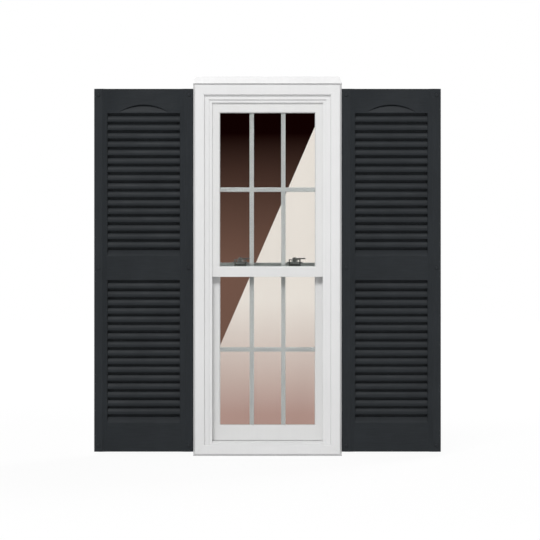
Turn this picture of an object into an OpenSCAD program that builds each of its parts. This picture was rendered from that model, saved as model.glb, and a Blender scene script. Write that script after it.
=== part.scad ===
// A pair of fixed louvred shutters with the double-hung window frame that they flank.
// Millimetres, +Z up. The front faces -Y, the wall plane is Y = 0, X = 0 is the middle of the window
// and Z = 0 is the lower edge of the window's casing.

/* [Casing] */
// Outside width of the casing
window_w = 572; // [480:1:900]
// Height of the casing, from its lower edge to the top of its head
casing_h = 1433; // [1250:1:1800]
// Width of each casing board
casing_w = 44; // [36:1:70]
// How far the casing stands off the wall
casing_t = 32; // [26:1:40]
// Width of the casing's outer bevel
casing_bevel = 8; // [3:0.5:12]
// Chamfer on the casing's inner edge
casing_chamfer = 3; // [1:0.5:5]
// Height of the cap on the head casing
cap_h = 27; // [15:1:45]
// How far the cap leans in at its ends and front
cap_lean = 9; // [4:0.5:14]

/* [Window frame] */
// Thickness of the jambs and of the head
jamb_t = 17; // [12:0.5:24]
// Wall of the hollow jambs
jamb_wall = 2.5; // [2:0.1:4]
// How far the jambs stand out in front of the wall
jamb_front = 20; // [12:0.5:24]
// How far the stops stand in from the jambs
stop_h = 12; // [9:0.5:16]
// Thickness of each stop
stop_t = 8; // [6:0.5:10]
// How far the front stop lies behind the jambs' front edge
stop_setback = 6; // [2:0.5:10]
// Height of the sill above the bottom casing
sill_t = 12; // [9:0.5:20]
// Height of the step at the inner edge of the sill
sill_step = 12; // [6:0.5:20]
// Fall of the sill's front edge
sill_fall = 8; // [3:0.5:8.5]
// Radius of the screw holes in the jambs
jamb_hole_r = 2.5; // [2:0.1:4]
// Distance between the two screw holes of a jamb
jamb_hole_pitch = 1000; // [600:10:1100]
// Distance of the jambs' screw holes from the middle of the inner track
jamb_hole_offset = 9; // [8:0.5:11]

/* [Sashes] */
// Thickness of both sashes
sash_t = 30; // [28:0.5:36]
// Gap between a sash and the jambs, head or sill
sash_clear = 1.5; // [1:0.1:2.5]
// Gap between a sash's face and a stop
face_clear = 1; // [0.8:0.1:2]
// Width of the sash stiles
stile_w = 40.5; // [36:0.5:50]
// Height of the lower edge of the upper sash above the casing's lower edge
meeting_z = 689; // [560:1:800]
// How far the two sashes lap at the meeting rails
meeting_lap = 55; // [48:1:70]
// Height of the upper sash's meeting rail
upper_check_h = 41; // [38:0.5:60]
// Height of the lower sash's meeting rail
lower_check_h = 45; // [42:0.5:60]
// Height of the upper sash's top rail
top_rail_h = 49.5; // [36:0.5:70]
// Height of the lower sash's bottom rail
bottom_rail_h = 59.5; // [50:0.5:90]
// Length of the finger lift on the lower sash
lift_w = 300; // [120:5:340]

/* [Glazing] */
// Thickness of the sash's lip in front of the glass
glass_lip = 5; // [4:0.5:7]
// Chamfer round the front of the lip
lip_chamfer = 4; // [1:0.5:5]
// Thickness of each pane
pane_t = 3; // [3:0.5:4]
// Gap between the panes
pane_gap = 13; // [10:0.5:14]
// How far the glass goes behind the lip
glass_bite = 10; // [8:0.5:12]
// Gap round the edge of the glass
glass_clear = 1; // [0.5:0.1:2]
// Width of the spacer between the panes
spacer_w = 6; // [5:0.5:9]
// Width of the grid bars between the panes
grid_w = 17; // [12:0.5:24]
// Depth of the grid bars
grid_t = 5; // [4:0.5:9]
// Columns of lites in each sash
grid_columns = 3; // [2:1:4]
// Rows of lites in each sash
grid_rows = 2; // [1:1:3]

/* [Balances] */
// Radius of the balance tubes
tube_r = 5; // [4.2:0.1:5.4]
// Wall of the balance tubes
tube_wall = 1.4; // [0.8:0.1:1.6]
// Radius of the balance rods
rod_r = 2.4; // [1.8:0.1:2.4]
// Clearance between a rod and its bush
rod_clear = 0.1; // [0.05:0.01:0.1]
// Gap between the balance tubes and the jamb
tube_gap = 0.3; // [0.2:0.05:0.5]

/* [Locks] */
// Distance of each lock from the middle of the window
lock_x = 105; // [60:1:140]
// Half length of the lock's base plate
lock_half = 31; // [28:0.5:40]
// Half width of the lock's base plate
lock_r = 12; // [10:0.5:13]
// Thickness of the lock's base plate
lock_plate_t = 3; // [2:0.5:4]
// Radius of the lock's pivot post
lock_post_r = 4; // [3:0.1:5]
// Radial clearance between the post and the lever's hub
lock_post_clear = 0.05; // [0.03:0.01:0.1]
// Reach of the locking cam from its pivot
cam_r = 24; // [22:0.5:25]
// Length of the lever from its pivot
lever_l = 42; // [30:1:55]

/* [Shutters] */
// Width of a shutter
shutter_w = 381; // [300:1:460]
// Height of a shutter
shutter_h = 1397; // [900:1:1800]
// Depth of a shutter at its stiles
shutter_t = 30; // [24:0.5:36]
// Wall of the moulding
shutter_wall = 2.5; // [2:0.1:3.5]
// Gap between a shutter and the casing
shutter_gap = 0.3; // [0.2:0.1:3]
// Height of a shutter's lower edge above the casing's lower edge
shutter_z = 16; // [0:1:40]
// Width of the flat part of the shutter's stiles
stile_flat = 31; // [26:0.5:45]
// How far the flat part falls back towards the shutter's long edges
stile_lean = 4; // [0:0.5:6]
// Width of the bevel inside the flat part
stile_bevel = 20; // [10:0.5:26]
// How far the rails lie behind the stiles
rail_setback = 8; // [4:0.5:10]
// Height of the top rail
top_rail = 94; // [70:1:140]
// Height of the middle rail
middle_rail = 94; // [60:1:140]
// Least height of the bottom rail
bottom_rail_min = 100; // [80:1:140]
// Distance from louvre to louvre
louvre_pitch = 32.25; // [28:0.25:42]
// Height of the slot above each louvre
louvre_slot = 10; // [6:0.5:14]
// How far a louvre's upper edge lies behind its lower lip
louvre_drop = 14; // [8:0.5:14]
// Width of the arch in the top rail
arch_w = 200; // [140:1:240]
// Rise of the arch in the top rail
arch_rise = 33; // [20:1:50]
// Depth of the arch at its crown
arch_depth = 11; // [6:0.5:14]
// Distance of the fasteners from the shutter's long edges
fastener_edge = 17; // [12:0.5:20]
// Distance of the outer fasteners from the shutter's ends
fastener_end = 24; // [14:0.5:50]
// Radius of the fasteners' shanks
fastener_r = 3.2; // [2.5:0.1:4]
// Radius of the fasteners' heads
fastener_head_r = 7; // [6:0.1:9]
// How far the fasteners go into the wall
fastener_reach = 45; // [30:1:70]

/* [Hidden] */
$fn = 48;

charcoal = "#3b3e42";
white = "#efefee";
sash_white = "#e6e6e5";
glass_tint = "#b9c6cc";
satin_metal = "#a9a9a6";
grey_pile = "#8b8d8f";
// Overlap that cutters run past the faces they cut
past = 1;
// Half of the joint line at each mitre
mitre_gap = 0.05;
// How deep the casing's outer bevel goes
casing_bevel_depth = 12;

// The window frame, from the casing inwards
half_w = window_w / 2;
jamb_out = half_w - casing_w;
jamb_in = jamb_out - jamb_t;
stop_in = jamb_in - stop_h;
head_top = casing_h - casing_w;
head_under = head_top - jamb_t;
sill_top = casing_w + sill_t;
cap_top = casing_h + cap_h;
// How deep the head is housed in the jambs
head_housing = 1;
head_half = jamb_in + head_housing;

// The tracks, from the front to the back
front_stop_y = -jamb_front + stop_setback;
upper_y = front_stop_y + stop_t + face_clear;
parting_y = upper_y + sash_t + face_clear;
lower_y = parting_y + stop_t + face_clear;
inner_stop_y = lower_y + sash_t + face_clear;
jamb_back_y = inner_stop_y + stop_t;

// The sashes
sash_half = jamb_in - sash_clear;
sight_half = sash_half - stile_w;
glass_half = sight_half + glass_bite;
pocket_half = glass_half + glass_clear;
upper_z = meeting_z;
upper_top = head_under - sash_clear;
lower_z = sill_top + sash_clear;
lower_top = meeting_z + meeting_lap;
upper_sight = [upper_z + upper_check_h, upper_top - top_rail_h];
lower_sight = [lower_z + bottom_rail_h, lower_top - lower_check_h];
inner_pane_at = glass_lip + pane_t + pane_gap;
bead_at = inner_pane_at + pane_t;
bead_reach = glass_bite + glass_clear;
pocket_reach = pocket_half - sight_half;
bead_fall = 3;
bead_splay = 4;

// The grooves in the sash edges that pass the balances
tube_x = jamb_in - tube_gap - tube_r;
groove_clear = 1.5;
groove_floor_clear = 2.2;
groove_half = tube_r + groove_clear;
groove_in = tube_x - tube_r - groove_floor_clear;
tube_lift = 16;
tube_end_gap = 7;
tube_z = lower_top + tube_lift;
tube_top = head_under - tube_end_gap;
bush_l = 12;
bush_collar = 3;
bracket_h = 8;
bracket_lift = 2;
rod_overlap = 40;
rod_end_gap = 15;
balance_screw_r = 2;
balance_screw_head_r = 3.6;
balance_screw_head_h = 1.4;
balance_screw_drop = 8;
balance_screw_l = 22;
screw_clear = 0.05;

// The pile seals in the faces of the sash stiles
pile_w = 4;
pile_depth = 2;
pile_gap = 0.3;
pile_x = (stop_in + sash_half) / 2 - pile_w / 2;

// The interlocks at the meeting rails
interlock_setback = 13;
interlock_half = stop_in - interlock_setback;
fin_t = 1.5;
fin_gap = 1.5;
fin_setback = 1;
hook_h = 8;
hook_lap = 3;
fin_base = 1;
fin_base_h = 9;
fin_reach = parting_y + stop_t - upper_y - sash_t - fin_gap;

// The sash locks
lock_setback = 11;
plate_offset = 1;
lock_y = lower_y + lock_setback;
plate_y = lower_y + sash_t / 2 - plate_offset;
plate_top = lower_top + lock_plate_t;
hub_r = 9;
hub_gap = 0.3;
hub_h = 15;
hub_z = plate_top + hub_gap;
cam_lift = 1;
cam_z = plate_top + cam_lift;
cam_t = 5;
cam_angle = 34;
lever_t = 5;
lever_end_r = 5;
post_head_r = 6;
post_head_h = 2;
lock_screw_x = 24;
lock_screw_r = 1.6;
lock_screw_head_r = 3;
lock_screw_head_h = 0.6;
lock_screw_l = 14;

// The keepers that the cams turn into
keeper_half = 23;
keeper_gap = 17.5;
keeper_back = upper_y + sash_t;
keeper_t = 2;
keeper_overhang = 5;
keeper_bridge_y = keeper_back - keeper_overhang;
keeper_bridge_t = 3;
keeper_cheek_lap = 4;
keeper_drop = 8;
keeper_rise = 4;
keeper_foot_h = 18;
keeper_foot_gap = 1;
keeper_arch_z = cam_z - keeper_drop;
keeper_top = cam_z + cam_t + keeper_rise;

// The shutters, each about its own middle with its lower edge at zero
shutter_half = shutter_w / 2;
shutter_x = half_w + shutter_gap + shutter_half;
stile_in = shutter_half - stile_flat - stile_bevel;
rail_y = -shutter_t + rail_setback;
back_gap = 1;
slot_floor_y = -back_gap - shutter_wall;
edge_chamfer = 3;
fields_h = shutter_h - top_rail - middle_rail - bottom_rail_min;
louvre_count = floor(fields_h / 2 / louvre_pitch);
field_h = louvre_count * louvre_pitch;
bottom_rail = shutter_h - top_rail - middle_rail - 2 * field_h;
lower_field_top = bottom_rail + field_h;
upper_field_top = lower_field_top + middle_rail + field_h;
slat_h = louvre_pitch - louvre_slot;
slat_slope = louvre_drop / slat_h;
slat_wall = shutter_wall * sqrt(1 + slat_slope * slat_slope);
bevel_slope = rail_setback / stile_bevel;
bevel_wall = shutter_wall * sqrt(1 + bevel_slope * bevel_slope);
lean_slope = stile_lean / stile_flat;
lean_wall = shutter_wall * sqrt(1 + lean_slope * lean_slope);
arch_r = (arch_w * arch_w / 4 + arch_rise * arch_rise) / (2 * arch_rise);
arch_centre_z = upper_field_top + arch_rise - arch_r;
fastener_x = shutter_half - fastener_edge;
fastener_rows = [fastener_end, lower_field_top + middle_rail / 2, shutter_h - fastener_end];
fastener_neck_step = 0.7;
fastener_neck_r = fastener_r + fastener_neck_step;
fastener_clear = 0.1;
fastener_head_h = 3;
fastener_tip = 8;
fastener_tip_r = 0.8;
pad_margin = 1;
pad_r = fastener_head_r + pad_margin;
pad_y = lean_slope * max(0, stile_flat - fastener_edge - pad_r) - shutter_t;
pad_l = 2 * pad_r * lean_slope + shutter_wall;
stile_ribs = 8;
rib_shift = 0.25;
rib_setback = 2;

// A box between two corners
module block(low, high) {
    translate(low) cube(high - low);
}

// A profile of Y and Z run along X, centred on X = 0
module along_x(length) {
    rotate([90, 0, 90]) linear_extrude(length, center = true) children();
}

// A profile of X and Z run along Y between two depths
module along_y(from, to) {
    translate([0, to, 0]) rotate([90, 0, 0]) linear_extrude(to - from) children();
}

// The same piece on the left and on the right
module both_sides() {
    children();
    mirror([1, 0, 0]) children();
}

// The bottom side of a mitred ring of width w: the profile's points are [distance inwards, Y]
module ring_bottom(w, reach, profile) {
    depths = [for (point = profile) point[1]];
    end = w / 2 - mitre_gap;
    intersection() {
        along_x(w) polygon([for (point = profile) [point[1], point[0]]]);
        along_y(min(depths), max(depths))
            polygon([[-end, 0], [end, 0], [end - reach, reach], [reach - end, reach]]);
    }
}

module ring_top(w, h, reach, profile) {
    translate([0, 0, h]) mirror([0, 0, 1]) ring_bottom(w, reach, profile);
}

module ring_left(w, h, reach, profile) {
    translate([-w / 2, 0, h / 2]) rotate([0, 90, 0]) ring_bottom(h, reach, profile);
}

module ring_right(w, h, reach, profile) {
    mirror([1, 0, 0]) ring_left(w, h, reach, profile);
}

// Casing
casing_profile = [
    [0, 0], [casing_w, 0], [casing_w, casing_chamfer - casing_t],
    [casing_w - casing_chamfer, -casing_t], [casing_bevel, -casing_t],
    [0, casing_bevel_depth - casing_t]
];

module casing_left() {
    color(white) ring_left(window_w, casing_h, casing_w, casing_profile);
}

module casing_right() {
    color(white) ring_right(window_w, casing_h, casing_w, casing_profile);
}

module casing_head() {
    color(white) ring_top(window_w, casing_h, casing_w, casing_profile);
}

module casing_bottom() {
    color(white) ring_bottom(window_w, casing_w, casing_profile);
}

// The cap leans back from the head casing's front and in from its ends
module head_cap() {
    color(white) intersection() {
        along_x(window_w)
            polygon([[0, casing_h], [-casing_t, casing_h], [cap_lean - casing_t, cap_top], [0, cap_top]]);
        along_y(-casing_t, 0)
            polygon([
                [-half_w, casing_h], [half_w, casing_h],
                [half_w - cap_lean, cap_top], [cap_lean - half_w, cap_top]
            ]);
    }
}

// Window frame: hollow jambs with three stops that form the two tracks
stop_rows = [front_stop_y, parting_y, inner_stop_y];
web_y = parting_y + stop_t / 2;
chambers = [
    [jamb_wall - jamb_front, web_y - jamb_wall / 2],
    [web_y + jamb_wall / 2, jamb_back_y - jamb_wall]
];
upper_track_y = upper_y + sash_t / 2;
lower_track_y = lower_y + sash_t / 2;
jamb_hole_y = lower_track_y + jamb_hole_offset;
jamb_mid_z = (casing_w + head_top) / 2;

module right_jamb_solid() {
    difference() {
        translate([0, 0, casing_w]) linear_extrude(head_top - casing_w) difference() {
            union() {
                translate([jamb_in, -jamb_front]) square([jamb_t, jamb_front + jamb_back_y]);
                for (y = stop_rows)
                    translate([stop_in, y]) square([stop_h + past, stop_t]);
            }
            for (chamber = chambers)
                translate([jamb_in + jamb_wall, chamber[0]])
                    square([jamb_t - 2 * jamb_wall, chamber[1] - chamber[0]]);
        }
        block([stop_in - past, -jamb_front - past, head_under],
              [head_half, jamb_back_y + past, head_top + past]);
        for (side = [-1, 1])
            translate([jamb_in - past, jamb_hole_y, jamb_mid_z + side * jamb_hole_pitch / 2])
                rotate([0, 90, 0]) cylinder(r = jamb_hole_r, h = jamb_t + 2 * past);
        for (y = [upper_track_y, lower_track_y])
            translate([jamb_in - past, y, tube_top - balance_screw_drop])
                rotate([0, 90, 0]) cylinder(r = balance_screw_r + screw_clear, h = jamb_wall + 2 * past);
    }
}

module right_jamb() {
    color(white) right_jamb_solid();
}

module left_jamb() {
    color(white) mirror([1, 0, 0]) right_jamb_solid();
}

// The head lies between the jambs and carries the same stops
module head_jamb() {
    color(white) union() {
        along_x(2 * head_half) difference() {
            translate([-jamb_front, head_under]) square([jamb_front + jamb_back_y, jamb_t]);
            for (chamber = chambers)
                translate([chamber[0], head_under + jamb_wall])
                    square([chamber[1] - chamber[0], jamb_t - 2 * jamb_wall]);
        }
        for (y = stop_rows)
            along_x(2 * stop_in)
                translate([y, head_under - stop_h]) square([stop_t, stop_h + past]);
    }
}

// The sill falls to the front, and steps up behind the lower sash
module sill() {
    color(white) union() {
        along_x(2 * stop_in) polygon([
            [-jamb_front, casing_w], [jamb_back_y, casing_w],
            [jamb_back_y, sill_top + sill_step], [inner_stop_y, sill_top + sill_step],
            [inner_stop_y, sill_top], [upper_y, sill_top], [-jamb_front, sill_top - sill_fall]
        ]);
        both_sides() for (i = [0, 1])
            block([stop_in - past, stop_rows[i] + stop_t, casing_w], [jamb_in, stop_rows[i + 1], sill_top]);
    }
}

// Sashes: y is the sash's front face, z its lower edge and sight the two ends of the visible glass
module lite_opening(y, sight) {
    wide = sight_half + lip_chamfer;
    front = y - past;
    straight = y + lip_chamfer;
    back = y + glass_lip + past;
    flare = lip_chamfer + past;
    middle = (sight[0] + sight[1]) / 2;
    half_h = (sight[1] - sight[0]) / 2;
    intersection() {
        translate([0, 0, sight[0] - flare]) linear_extrude(sight[1] - sight[0] + 2 * flare)
            polygon([
                [-wide - past, front], [wide + past, front], [sight_half, straight], [sight_half, back],
                [-sight_half, back], [-sight_half, straight]
            ]);
        translate([0, 0, middle]) along_x(2 * (sight_half + flare))
            polygon([
                [front, -half_h - flare], [front, half_h + flare], [straight, half_h], [back, half_h],
                [back, -half_h], [straight, -half_h]
            ]);
    }
}

module sash_frame(y, z, top, sight) {
    pocket_z = [sight[0] - pocket_reach, sight[1] + pocket_reach];
    difference() {
        block([-sash_half, y, z], [sash_half, y + sash_t, top]);
        lite_opening(y, sight);
        block([-pocket_half, y + glass_lip, pocket_z[0]], [pocket_half, y + sash_t + past, pocket_z[1]]);
        both_sides() {
            block([groove_in, y + sash_t / 2 - groove_half, z - past],
                  [sash_half + past, y + sash_t / 2 + groove_half, top + past]);
            block([pile_x, y - past, z - past], [pile_x + pile_w, y + pile_depth, top + past]);
            block([pile_x, y + sash_t - pile_depth, z - past],
                  [pile_x + pile_w, y + sash_t + past, top + past]);
        }
    }
}

module pane(y, sight) {
    block([-glass_half, y, sight[0] - glass_bite], [glass_half, y + pane_t, sight[1] + glass_bite]);
}

// The spacer is a closed ring at the edge of the glass
module spacer(y, sight) {
    low = sight[0] - glass_bite;
    high = sight[1] + glass_bite;
    along_y(y + glass_lip + pane_t, y + inner_pane_at) difference() {
        translate([-glass_half, low]) square([2 * glass_half, high - low]);
        translate([spacer_w - glass_half, low + spacer_w])
            square([2 * (glass_half - spacer_w), high - low - 2 * spacer_w]);
    }
}

// A grid bar has a six-sided section, thin at its edges
grid_edge = 1.5;
grid_flat = 0.5;
grid_section = [
    [-grid_w / 2, -grid_edge / 2], [-grid_flat * grid_w / 2, -grid_t / 2],
    [grid_flat * grid_w / 2, -grid_t / 2], [grid_w / 2, -grid_edge / 2], [grid_w / 2, grid_edge / 2],
    [grid_flat * grid_w / 2, grid_t / 2], [-grid_flat * grid_w / 2, grid_t / 2],
    [-grid_w / 2, grid_edge / 2]
];

module grid(y, sight) {
    low = sight[0] - glass_bite + spacer_w;
    high = sight[1] + glass_bite - spacer_w;
    lite_w = 2 * sight_half / grid_columns;
    lite_h = (sight[1] - sight[0]) / grid_rows;
    translate([0, y + glass_lip + pane_t + pane_gap / 2, 0]) union() {
        for (column = [1 : grid_columns - 1])
            translate([column * lite_w - sight_half, 0, low])
                linear_extrude(high - low) polygon(grid_section);
        if (grid_rows > 1)
            for (row = [1 : grid_rows - 1])
                translate([0, 0, sight[0] + row * lite_h]) along_x(2 * (glass_half - spacer_w))
                    polygon([for (point = grid_section) [point[1], point[0]]]);
    }
}

// Four mitred beads hold the glass from inside
module glazing_beads(y, sight) {
    w = 2 * pocket_half;
    h = sight[1] - sight[0] + 2 * pocket_reach;
    back = y + sash_t;
    profile = [
        [0, y + bead_at], [bead_reach, y + bead_at], [bead_reach, back - bead_fall],
        [bead_reach - bead_splay, back], [0, back]
    ];
    translate([0, 0, sight[0] - pocket_reach]) {
        ring_bottom(w, bead_reach, profile);
        ring_top(w, h, bead_reach, profile);
        ring_left(w, h, bead_reach, profile);
        ring_right(w, h, bead_reach, profile);
    }
}

// Four strips of pile fill the gaps between the stiles and the stops
module pile_seals(y, z, top) {
    stand = face_clear - pile_gap;
    both_sides() {
        block([pile_x, y - stand, z], [pile_x + pile_w, y + pile_depth, top]);
        block([pile_x, y + sash_t - pile_depth, z], [pile_x + pile_w, y + sash_t + stand, top]);
    }
}

// The brackets close the lower ends of the grooves and carry the balance rods
module rod_brackets(y, z) {
    both_sides() block(
        [groove_in, y + sash_t / 2 - groove_half, z + bracket_lift],
        [sash_half, y + sash_t / 2 + groove_half, z + bracket_lift + bracket_h]
    );
}

module balance_rods(y, z, rod_top) {
    rod_z = z + bracket_lift + bracket_h;
    both_sides() translate([tube_x, y, rod_z]) cylinder(r = rod_r, h = rod_top - rod_z);
}

module upper_sash_frame() {
    color(sash_white) sash_frame(upper_y, upper_z, upper_top, upper_sight);
}

module upper_outer_pane() {
    color(glass_tint) pane(upper_y + glass_lip, upper_sight);
}

module upper_inner_pane() {
    color(glass_tint) pane(upper_y + inner_pane_at, upper_sight);
}

module upper_spacer() {
    color(satin_metal) spacer(upper_y, upper_sight);
}

module upper_grid() {
    color(white) grid(upper_y, upper_sight);
}

module upper_glazing_beads() {
    color(sash_white) glazing_beads(upper_y, upper_sight);
}

module upper_pile_seals() {
    color(grey_pile) pile_seals(upper_y, upper_z, upper_top);
}

module upper_balance_rods() {
    color(satin_metal) balance_rods(upper_track_y, upper_z, tube_top - rod_end_gap);
}

module upper_rod_brackets() {
    color(satin_metal) rod_brackets(upper_y, upper_z);
}

// Behind the upper meeting rail a fin turns up, and the lower sash's fin turns down behind it
upper_fin_z = upper_z + fin_setback;
upper_fin_y = upper_y + sash_t;
lower_fin_z = lower_sight[1] + lip_chamfer + fin_setback;
upper_hook_top = upper_fin_z + hook_h;

module upper_interlock() {
    color(sash_white) along_x(2 * interlock_half) union() {
        translate([upper_fin_y, upper_fin_z]) square([fin_base, fin_base_h]);
        translate([upper_fin_y, upper_fin_z]) square([fin_reach, fin_t]);
        translate([upper_fin_y + fin_reach - fin_t, upper_fin_z]) square([fin_t, hook_h]);
    }
}

module lower_interlock() {
    hook_z = upper_hook_top - hook_lap;
    color(sash_white) along_x(2 * interlock_half) union() {
        translate([lower_y - fin_base, lower_fin_z]) square([fin_base, fin_base_h]);
        translate([lower_y - fin_reach, lower_fin_z]) square([fin_reach, fin_t]);
        translate([lower_y - fin_reach, hook_z]) square([fin_t, lower_fin_z + fin_t - hook_z]);
    }
}

// A keeper is a bridge on the upper meeting rail that the lock's cam turns into
module keeper() {
    foot_top = upper_sight[0] - pocket_reach - keeper_foot_gap;
    union() {
        block([-keeper_half, keeper_back, foot_top - keeper_foot_h],
              [keeper_half, keeper_back + keeper_t, keeper_arch_z]);
        both_sides() block([keeper_gap, keeper_bridge_y, keeper_arch_z - keeper_cheek_lap],
                           [keeper_half, keeper_back + keeper_t, keeper_top]);
        block([-keeper_half, keeper_bridge_y, keeper_top - keeper_bridge_t],
              [keeper_half, keeper_back + keeper_t, keeper_top]);
    }
}

module left_keeper() {
    color(satin_metal) translate([-lock_x, 0, 0]) keeper();
}

module right_keeper() {
    color(satin_metal) translate([lock_x, 0, 0]) keeper();
}

// The lower sash has a finger lift inside, pilot holes for the lock screws and a groove for its seal
lift_reach = 12;
lift_t = 7;
lift_rise = 28;
lift_fall = 3;
lift_lip = 2;
lift_lip_t = 3;
lift_lip_root = 4;
lift_z = lower_z + lift_rise;
lift_front_y = lower_y + sash_t + lift_reach;
seal_w = 6;
seal_depth = 3;
seal_gap = 0.3;
seal_overhang = 15;
seal_half = sight_half + seal_overhang;

module at_lock_screws() {
    for (side = [-1, 1], end = [-1, 1])
        translate([side * lock_x + end * lock_screw_x, plate_y, plate_top]) children();
}

module lower_sash_frame() {
    back = lower_y + sash_t;
    seal_y = lower_y + sash_t / 2;
    color(sash_white) difference() {
        union() {
            sash_frame(lower_y, lower_z, lower_top, lower_sight);
            along_x(lift_w) polygon([
                [back - past, lift_z], [lift_front_y, lift_z + lift_fall],
                [lift_front_y, lift_z + lift_t + lift_lip],
                [lift_front_y - lift_lip_t, lift_z + lift_t + lift_lip],
                [lift_front_y - lift_lip_root, lift_z + lift_t],
                [back - past, lift_z + lift_t]
            ]);
        }
        at_lock_screws() translate([0, 0, -lock_screw_l])
            cylinder(r = lock_screw_r + screw_clear, h = lock_screw_l + past);
        block([-seal_half, seal_y - seal_w / 2, lower_z - past],
              [seal_half, seal_y + seal_w / 2, lower_z + seal_depth]);
    }
}

module lower_outer_pane() {
    color(glass_tint) pane(lower_y + glass_lip, lower_sight);
}

module lower_inner_pane() {
    color(glass_tint) pane(lower_y + inner_pane_at, lower_sight);
}

module lower_spacer() {
    color(satin_metal) spacer(lower_y, lower_sight);
}

module lower_grid() {
    color(white) grid(lower_y, lower_sight);
}

module lower_glazing_beads() {
    color(sash_white) glazing_beads(lower_y, lower_sight);
}

module lower_pile_seals() {
    color(grey_pile) pile_seals(lower_y, lower_z, lower_top);
}

// The bottom seal stands a little out of its groove towards the sill
module lower_bottom_seal() {
    seal_y = lower_y + sash_t / 2;
    color(grey_pile) block([-seal_half, seal_y - seal_w / 2, sill_top + seal_gap],
                           [seal_half, seal_y + seal_w / 2, lower_z + seal_depth]);
}

module lower_balance_rods() {
    color(satin_metal) balance_rods(lower_track_y, lower_z, tube_z + rod_overlap);
}

module lower_rod_brackets() {
    color(satin_metal) rod_brackets(lower_y, lower_z);
}

// Balances: tubes screwed to the jambs, with a bush at the lower end that guides the rod
module balance_tubes(y) {
    tube_l = tube_top - tube_z;
    both_sides() difference() {
        translate([tube_x, y, tube_z]) cylinder(r = tube_r, h = tube_l);
        translate([tube_x, y, tube_z - past]) cylinder(r = tube_r - tube_wall, h = tube_l + 2 * past);
        translate([tube_x - tube_r - past, y, tube_top - balance_screw_drop]) rotate([0, 90, 0])
            cylinder(r = balance_screw_r + screw_clear, h = 2 * (tube_r + past));
    }
}

module upper_balance_tubes() {
    color(satin_metal) balance_tubes(upper_track_y);
}

module lower_balance_tubes() {
    color(satin_metal) balance_tubes(lower_track_y);
}

module balance_bushes() {
    color(white) both_sides() for (y = [upper_track_y, lower_track_y])
        translate([tube_x, y, tube_z]) difference() {
            union() {
                cylinder(r = tube_r - tube_wall, h = bush_l);
                translate([0, 0, -bush_collar]) cylinder(r = tube_r, h = bush_collar);
            }
            translate([0, 0, -bush_collar - past])
                cylinder(r = rod_r + rod_clear, h = bush_l + bush_collar + 2 * past);
        }
}

module balance_screws() {
    color(satin_metal) both_sides() for (y = [upper_track_y, lower_track_y])
        translate([tube_x - tube_r, y, tube_top - balance_screw_drop]) rotate([0, 90, 0]) {
            cylinder(r = balance_screw_r, h = balance_screw_l);
            translate([0, 0, -balance_screw_head_h])
                cylinder(r = balance_screw_head_r, h = balance_screw_head_h);
        }
}

// Locks: a base plate with a headed post, and a lever with its cam that turns on the post
module lock_base() {
    ends = lock_half - lock_r;
    difference() {
        union() {
            translate([0, plate_y, lower_top]) {
                for (side = [-1, 1])
                    translate([side * ends, 0, 0]) cylinder(r = lock_r, h = lock_plate_t);
                translate([-ends, -lock_r, 0]) cube([2 * ends, 2 * lock_r, lock_plate_t]);
            }
            translate([0, lock_y, lower_top])
                cylinder(r = lock_post_r, h = lock_plate_t + hub_h + 2 * hub_gap + past);
            translate([0, lock_y, hub_z + hub_h + hub_gap]) cylinder(r = post_head_r, h = post_head_h);
        }
        for (end = [-1, 1])
            translate([end * lock_screw_x, plate_y, lower_top - past])
                cylinder(r = lock_screw_r + screw_clear, h = lock_plate_t + 2 * past);
    }
}

module left_lock_base() {
    color(satin_metal) translate([-lock_x, 0, 0]) lock_base();
}

module right_lock_base() {
    color(satin_metal) translate([lock_x, 0, 0]) lock_base();
}

module lock_screws() {
    color(satin_metal) at_lock_screws() {
        translate([0, 0, -lock_screw_l]) cylinder(r = lock_screw_r, h = lock_screw_l);
        cylinder(r = lock_screw_head_r, h = lock_screw_head_h);
    }
}

// At rest the cam points inwards and the lever to the right
module lock_lever() {
    spread = cam_r * tan(cam_angle);
    lever_z = hub_h - lever_t;
    translate([0, lock_y, hub_z]) difference() {
        union() {
            cylinder(r = hub_r, h = hub_h);
            translate([0, 0, cam_z - hub_z]) intersection() {
                cylinder(r = cam_r, h = cam_t);
                linear_extrude(cam_t) polygon([[0, 0], [spread, cam_r], [-spread, cam_r]]);
            }
            translate([0, -lever_end_r, lever_z]) cube([lever_l - lever_end_r, 2 * lever_end_r, lever_t]);
            translate([lever_l - lever_end_r, 0, lever_z]) cylinder(r = lever_end_r, h = lever_t);
        }
        translate([0, 0, -past]) cylinder(r = lock_post_r + lock_post_clear, h = hub_h + 2 * past);
    }
}

module left_lock_lever() {
    color(satin_metal) translate([-lock_x, 0, 0]) lock_lever();
}

module right_lock_lever() {
    color(satin_metal) translate([lock_x, 0, 0]) lock_lever();
}

// Shutters: the front outline of the moulding across its width
stile_front = [
    [-shutter_half, stile_lean + edge_chamfer - shutter_t],
    [edge_chamfer - shutter_half, lean_slope * (stile_flat - edge_chamfer) - shutter_t],
    [stile_flat - shutter_half, -shutter_t], [-stile_in, rail_y]
];

// One stile is a channel: outer wall, leaning flat, bevel and inner wall
module left_stile() {
    bevel_foot_y = rail_y - bevel_slope * shutter_wall + bevel_wall;
    crest_in = (bevel_wall - lean_wall) / (lean_slope + bevel_slope);
    flat_inside_y = lean_slope * (stile_flat - shutter_wall) + lean_wall - shutter_t;
    linear_extrude(shutter_h) polygon(concat(
        [[-shutter_half, 0]],
        stile_front,
        [
            [-stile_in, slot_floor_y + shutter_wall], [-stile_in - shutter_wall, slot_floor_y + shutter_wall],
            [-stile_in - shutter_wall, bevel_foot_y],
            [stile_flat - crest_in - shutter_half, lean_slope * crest_in + lean_wall - shutter_t],
            [shutter_wall - shutter_half, flat_inside_y], [shutter_wall - shutter_half, 0]
        ]
    ));
}

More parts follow.
